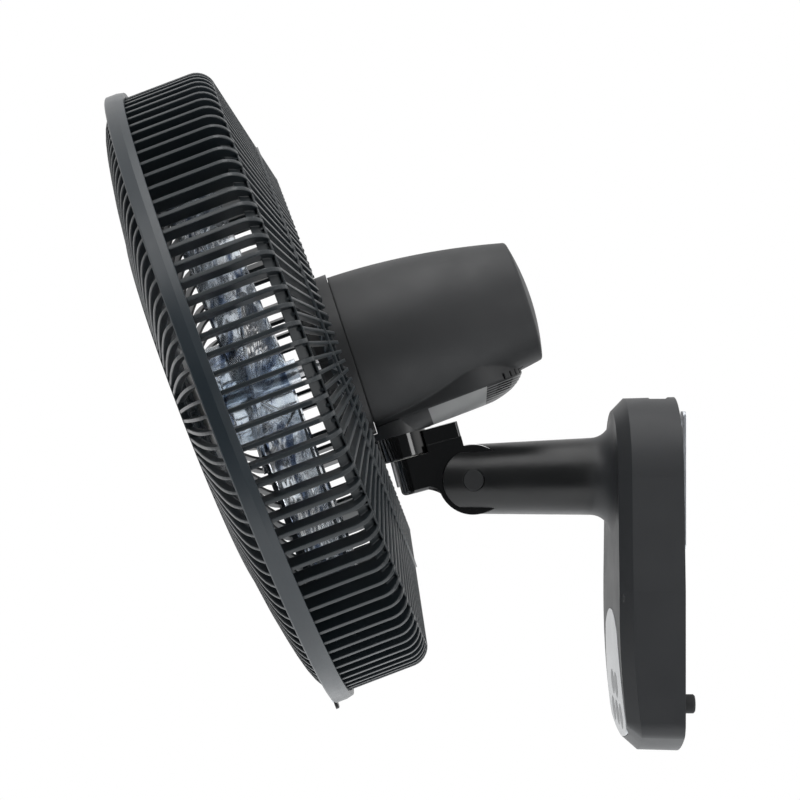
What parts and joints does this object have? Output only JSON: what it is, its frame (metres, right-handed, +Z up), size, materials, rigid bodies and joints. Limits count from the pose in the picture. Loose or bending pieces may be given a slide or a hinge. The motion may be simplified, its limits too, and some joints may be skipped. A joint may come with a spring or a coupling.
{
  "type": "wall mounted fan",
  "caption": "Wall mounted fan: round ribbed guard on a tilting, swinging motor head, an arm from a rounded wall box with push keys.",
  "frame": {"origin": "midpoint between the two wall screw holes, on the wall face of the bracket", "axes": "+Z up, +Y into the wall, the fan blows towards -Y, +X to the right when the wall is faced from the room"},
  "size_m": [0.448, 0.4015, 0.4698],
  "materials": {
    "black_plastic": "matt charcoal-black moulded plastic with a fine grain",
    "gloss_black": "polished black moulded plastic",
    "silver_panel": "satin silver-grey lacquered plastic",
    "button_grey": "satin dark grey plastic keys",
    "guard_plastic": "semi-matt black moulded ribs",
    "blade_clear": "transparent smoky blue moulded blades",
    "spinner_grey": "matt grey plastic",
    "steel": "bright turned and rolled steel",
    "zinc": "zinc plated screws and pressings",
    "cast_alloy": "die-cast aluminium, as cast",
    "copper": "enamelled copper wire windings",
    "laminated_steel": "stacked electrical steel sheets",
    "board": "green coated circuit board",
    "rubber": "soft black rubber",
    "film_white": "off-white plastic capacitor case",
    "nylon": "natural nylon"
  },
  "bodies": {
    "wall_unit": {"wall_bracket": "zinc", "back_cover": "black_plastic", "front_housing": "black_plastic", "control_panel": "silver_panel", "control_board": "board", "key_switches": "nylon", "board_screws": "zinc", "cover_screws": "zinc", "rubber_feet": "rubber", "cord_bush": "rubber", "tilt_bolt": "zinc", "tilt_nut": "zinc", "tilt_washers": "nylon", "pivot_caps": "black_plastic"},
    "neck_arm": {"neck": "gloss_black", "pivot_post": "steel", "thrust_washer": "nylon", "post_nut": "zinc"},
    "head": {"swivel_collar": "gloss_black", "head_chassis": "cast_alloy", "motor_front_cover": "black_plastic", "motor_shell": "black_plastic", "under_cover": "black_plastic", "pan_screws": "zinc", "front_bell": "cast_alloy", "rear_bell": "cast_alloy", "tie_bolts": "zinc", "front_bearing": "steel", "rear_bearing": "steel", "stator_core": "laminated_steel", "stator_windings": "copper", "capacitor": "film_white", "rear_guard": "guard_plastic", "guard_nut": "black_plastic", "guard_ring": "black_plastic", "front_guard": "guard_plastic", "centre_cap": "black_plastic", "guard_latch": "black_plastic", "guard_screw": "zinc"},
    "rotor": {"motor_shaft": "steel", "rotor_core": "laminated_steel", "fan_blade": "blade_clear", "blade_nut": "spinner_grey", "blade_pin": "steel"},
    "key_1": {"button_1": "button_grey"},
    "key_2": {"button_2": "button_grey"},
    "key_3": {"button_3": "button_grey"},
    "key_4": {"button_4": "button_grey"},
    "key_5": {"button_5": "button_grey"}
  },
  "joints": [
    {"name": "neck_tilt", "type": "hinge", "parent": "wall_unit", "child": "neck_arm", "pos_m": [0, -0.1485, 0.0007], "axis": [1, 0, 0], "range_deg": [-21, 24]},
    {"name": "head_swing", "type": "hinge", "parent": "neck_arm", "child": "head", "pos_m": [0, -0.18807, -0.01005], "axis": [0, -0.2622, 0.965], "range_deg": [-40, 40]},
    {"name": "fan_spin", "type": "hinge", "parent": "head", "child": "rotor", "pos_m": [0, -0.3162, 0.0578], "axis": [0, 0.9348, 0.3551], "continuous": true},
    {"name": "key_1_press", "type": "slide", "parent": "wall_unit", "child": "key_1", "axis": [0, 1, 0], "range_m": [0, 0.0008], "stiffness_N_per_m": 800, "springref_m": -0.0005},
    {"name": "key_2_press", "type": "slide", "parent": "wall_unit", "child": "key_2", "axis": [0, 1, 0], "range_m": [0, 0.0008], "stiffness_N_per_m": 800, "springref_m": -0.0005},
    {"name": "key_3_press", "type": "slide", "parent": "wall_unit", "child": "key_3", "axis": [0, 1, 0], "range_m": [0, 0.0008], "stiffness_N_per_m": 800, "springref_m": -0.0005},
    {"name": "key_4_press", "type": "slide", "parent": "wall_unit", "child": "key_4", "axis": [0, 1, 0], "range_m": [0, 0.0008], "stiffness_N_per_m": 800, "springref_m": -0.0005},
    {"name": "key_5_press", "type": "slide", "parent": "wall_unit", "child": "key_5", "axis": [0, 1, 0], "range_m": [0, 0.0008], "stiffness_N_per_m": 800, "springref_m": -0.0005}
  ]
}
